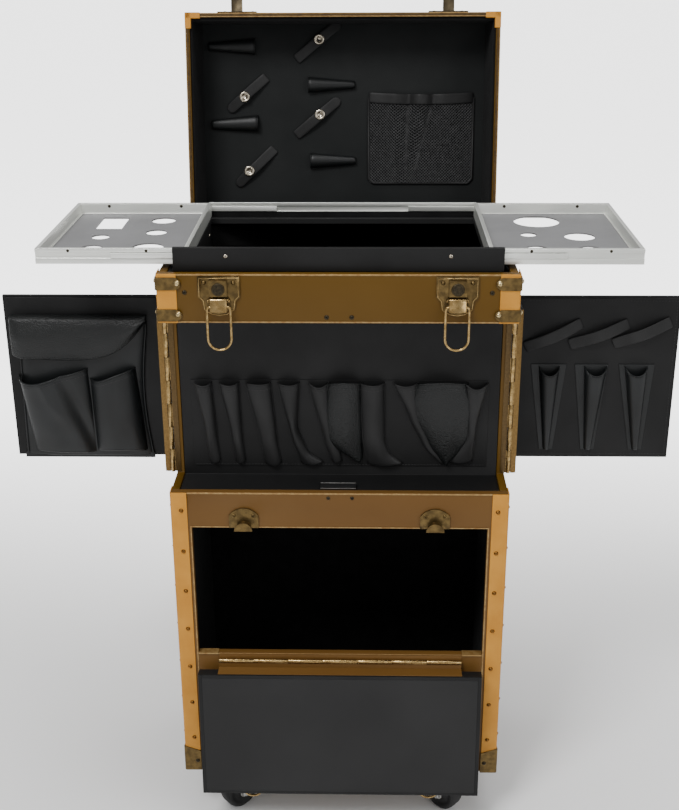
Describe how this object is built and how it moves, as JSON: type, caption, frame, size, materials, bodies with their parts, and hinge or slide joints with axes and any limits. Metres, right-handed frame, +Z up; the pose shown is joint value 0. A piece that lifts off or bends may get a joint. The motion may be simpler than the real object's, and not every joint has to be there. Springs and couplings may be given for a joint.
{
  "type": "rolling makeup train case",
  "caption": "Upright rolling makeup case, open: hinged lid, sliding trays, corner doors with brush pockets, drop-down front door, draw latches and swivel casters.",
  "frame": {"origin": "on the floor, under the middle of the open case's box", "axes": "+Z up, -Y out of the front with the drop door, +X to the right as seen by someone facing the front"},
  "size_m": [0.6968, 0.345, 0.8649],
  "materials": {
    "brown_panel": "leatherette over plywood",
    "black_board": "fabric-covered board",
    "bronze": "antique bronze",
    "brass": "aged brass",
    "aluminium": "satin",
    "grey_plate": "matt",
    "steel": "zinc plated",
    "wheel_rubber": "matt",
    "black_soft": "leatherette",
    "handle_grip": "smooth"
  },
  "bodies": {
    "case": {"back_hinge_leaf": "brass", "band_front": "brown_panel", "bin_collar": "black_board", "case_hinge_leaf_left": "brass", "case_hinge_leaf_right": "brass", "case_shell": "brown_panel", "caster_plate_back_left": "steel", "caster_plate_back_right": "steel", "caster_plate_front_left": "steel", "caster_plate_front_right": "steel", "catch_hook_left": "bronze", "catch_hook_right": "bronze", "door_bay_liner": "black_board", "front_frame": "brown_panel", "lid_latch_plate_left": "bronze", "lid_latch_plate_right": "bronze", "sill_hinge_leaf": "brass", "tool_pockets": "black_soft", "tray_rail_back": "aluminium", "tray_rail_front": "aluminium"},
    "lid": {"lid_shell": "brown_panel", "lid_hinge_leaf": "brass", "lid_hook_left": "bronze", "lid_hook_right": "bronze", "handle_mount": "bronze"},
    "carry_handle": {"carry_handle": "handle_grip"},
    "door_left": {"door_left": "brown_panel", "door_hinge_leaf_left": "brass", "door_bag": "black_soft"},
    "door_right": {"door_right": "brown_panel", "door_hinge_leaf_right": "brass", "brush_pockets": "black_soft"},
    "drop_door": {"drop_door": "brown_panel", "drop_hinge_leaf": "brass"},
    "drop_latch_lever_left": {"drop_latch_lever_left": "brass"},
    "drop_latch_loop_left": {"drop_latch_loop_left": "brass"},
    "lid_latch_lever_left": {"lid_latch_lever_left": "brass"},
    "lid_latch_loop_left": {"lid_latch_loop_left": "brass"},
    "lock_cylinder_left": {"lock_cylinder_left": "brass"},
    "tray_left": {"tray_frame_left": "aluminium", "tray_plate_left": "grey_plate"},
    "slide_left": {"slide_front_left": "aluminium", "slide_back_left": "aluminium"},
    "drop_latch_lever_right": {"drop_latch_lever_right": "brass"},
    "drop_latch_loop_right": {"drop_latch_loop_right": "brass"},
    "lid_latch_lever_right": {"lid_latch_lever_right": "brass"},
    "lid_latch_loop_right": {"lid_latch_loop_right": "brass"},
    "lock_cylinder_right": {"lock_cylinder_right": "brass"},
    "tray_right": {"tray_frame_right": "aluminium", "tray_plate_right": "grey_plate"},
    "slide_right": {"slide_front_right": "aluminium", "slide_back_right": "aluminium"},
    "caster_front_left": {"caster_fork_front_left": "steel"},
    "wheel_front_left": {"caster_wheel_front_left": "wheel_rubber"},
    "caster_front_right": {"caster_fork_front_right": "steel"},
    "wheel_front_right": {"caster_wheel_front_right": "wheel_rubber"},
    "caster_back_left": {"caster_fork_back_left": "steel"},
    "wheel_back_left": {"caster_wheel_back_left": "wheel_rubber"},
    "caster_back_right": {"caster_fork_back_right": "steel"},
    "wheel_back_right": {"caster_wheel_back_right": "wheel_rubber"}
  },
  "joints": [
    {"name": "lid_hinge", "type": "hinge", "parent": "case", "child": "lid", "pos_m": [0, 0.07546, 0.6364], "axis": [1, 0, 0], "range_deg": [0, 28]},
    {"name": "carry_handle_hinge", "type": "hinge", "parent": "lid", "child": "carry_handle", "pos_m": [0, 0.16463, 0.73485], "axis": [1, 0, 0], "range_deg": [-8, 160]},
    {"name": "door_left_hinge", "type": "hinge", "parent": "case", "child": "door_left", "pos_m": [-0.1745, -0.09834, 0.406], "axis": [0, 0, 1], "range_deg": [0, 142]},
    {"name": "door_right_hinge", "type": "hinge", "parent": "case", "child": "door_right", "pos_m": [0.1745, -0.09834, 0.406], "axis": [0, 0, -1], "range_deg": [0, 164]},
    {"name": "drop_door_hinge", "type": "hinge", "parent": "case", "child": "drop_door", "pos_m": [0, -0.14934, 0.2075], "axis": [-1, 0, 0], "range_deg": [0, 177]},
    {"name": "drop_lever_left_hinge", "type": "hinge", "parent": "drop_door", "child": "drop_latch_lever_left", "pos_m": [-0.0975, -0.15543, 0.07213], "axis": [-1, 0, 0], "range_deg": [0, 12]},
    {"name": "drop_loop_left_hinge", "type": "hinge", "parent": "drop_latch_lever_left", "child": "drop_latch_loop_left", "pos_m": [-0.0975, -0.15257, 0.07699], "axis": [1, 0, 0], "range_deg": [0, 18]},
    {"name": "drop_lever_right_hinge", "type": "hinge", "parent": "drop_door", "child": "drop_latch_lever_right", "pos_m": [0.0975, -0.15543, 0.07213], "axis": [-1, 0, 0], "range_deg": [0, 12]},
    {"name": "drop_loop_right_hinge", "type": "hinge", "parent": "drop_latch_lever_right", "child": "drop_latch_loop_right", "pos_m": [0.0975, -0.15257, 0.07699], "axis": [1, 0, 0], "range_deg": [0, 18]},
    {"name": "lid_lever_left_hinge", "type": "hinge", "parent": "case", "child": "lid_latch_lever_left", "pos_m": [-0.113, -0.15034, 0.609], "axis": [1, 0, 0], "range_deg": [-60, 0]},
    {"name": "lid_loop_left_hinge", "type": "hinge", "parent": "lid_latch_lever_left", "child": "lid_latch_loop_left", "pos_m": [-0.113, -0.15294, 0.604], "axis": [-1, 0, 0], "range_deg": [0, 180]},
    {"name": "lock_left_turn", "type": "hinge", "parent": "case", "child": "lock_cylinder_left", "pos_m": [-0.113, -0.15334, 0.621], "axis": [0, 1, 0], "range_deg": [0, 90]},
    {"name": "lid_lever_right_hinge", "type": "hinge", "parent": "case", "child": "lid_latch_lever_right", "pos_m": [0.113, -0.15034, 0.609], "axis": [1, 0, 0], "range_deg": [-60, 0]},
    {"name": "lid_loop_right_hinge", "type": "hinge", "parent": "lid_latch_lever_right", "child": "lid_latch_loop_right", "pos_m": [0.113, -0.15294, 0.604], "axis": [-1, 0, 0], "range_deg": [0, 180]},
    {"name": "lock_right_turn", "type": "hinge", "parent": "case", "child": "lock_cylinder_right", "pos_m": [0.113, -0.15334, 0.621], "axis": [0, 1, 0], "range_deg": [0, 90]},
    {"name": "tray_left_slide", "type": "slide", "parent": "case", "child": "tray_left", "axis": [1, 0, 0], "range_m": [0, 0.143]},
    {"name": "slide_left_follow", "type": "slide", "parent": "case", "child": "slide_left", "axis": [1, 0, 0], "range_m": [0, 0.0715]},
    {"name": "tray_right_slide", "type": "slide", "parent": "case", "child": "tray_right", "axis": [-1, 0, 0], "range_m": [0, 0.143]},
    {"name": "slide_right_follow", "type": "slide", "parent": "case", "child": "slide_right", "axis": [-1, 0, 0], "range_m": [0, 0.0715]},
    {"name": "swivel_front_left", "type": "hinge", "parent": "case", "child": "caster_front_left", "pos_m": [-0.106, -0.11534, 0.058], "axis": [0, 0, 1], "continuous": true},
    {"name": "roll_front_left", "type": "hinge", "parent": "caster_front_left", "child": "wheel_front_left", "pos_m": [-0.11657, -0.12452, 0.0209], "axis": [0.6561, -0.7547, 0], "continuous": true},
    {"name": "swivel_front_right", "type": "hinge", "parent": "case", "child": "caster_front_right", "pos_m": [0.106, -0.11534, 0.058], "axis": [0, 0, 1], "continuous": true},
    {"name": "roll_front_right", "type": "hinge", "parent": "caster_front_right", "child": "wheel_front_right", "pos_m": [0.11657, -0.12452, 0.0209], "axis": [0.6561, 0.7547, 0], "continuous": true},
    {"name": "swivel_back_left", "type": "hinge", "parent": "case", "child": "caster_back_left", "pos_m": [-0.106, 0.04316, 0.058], "axis": [0, 0, 1], "continuous": true},
    {"name": "roll_back_left", "type": "hinge", "parent": "caster_back_left", "child": "wheel_back_left", "pos_m": [-0.11672, 0.05216, 0.0209], "axis": [-0.6428, -0.766, 0], "continuous": true},
    {"name": "swivel_back_right", "type": "hinge", "parent": "case", "child": "caster_back_right", "pos_m": [0.106, 0.04316, 0.058], "axis": [0, 0, 1], "continuous": true},
    {"name": "roll_back_right", "type": "hinge", "parent": "caster_back_right", "child": "wheel_back_right", "pos_m": [0.113, 0.05528, 0.0209], "axis": [-0.866, 0.5, 0], "continuous": true}
  ],
  "couplings": [
    {"joint": "slide_left_follow", "follows": "tray_left_slide", "ratio": 0.5},
    {"joint": "slide_right_follow", "follows": "tray_right_slide", "ratio": 0.5}
  ]
}
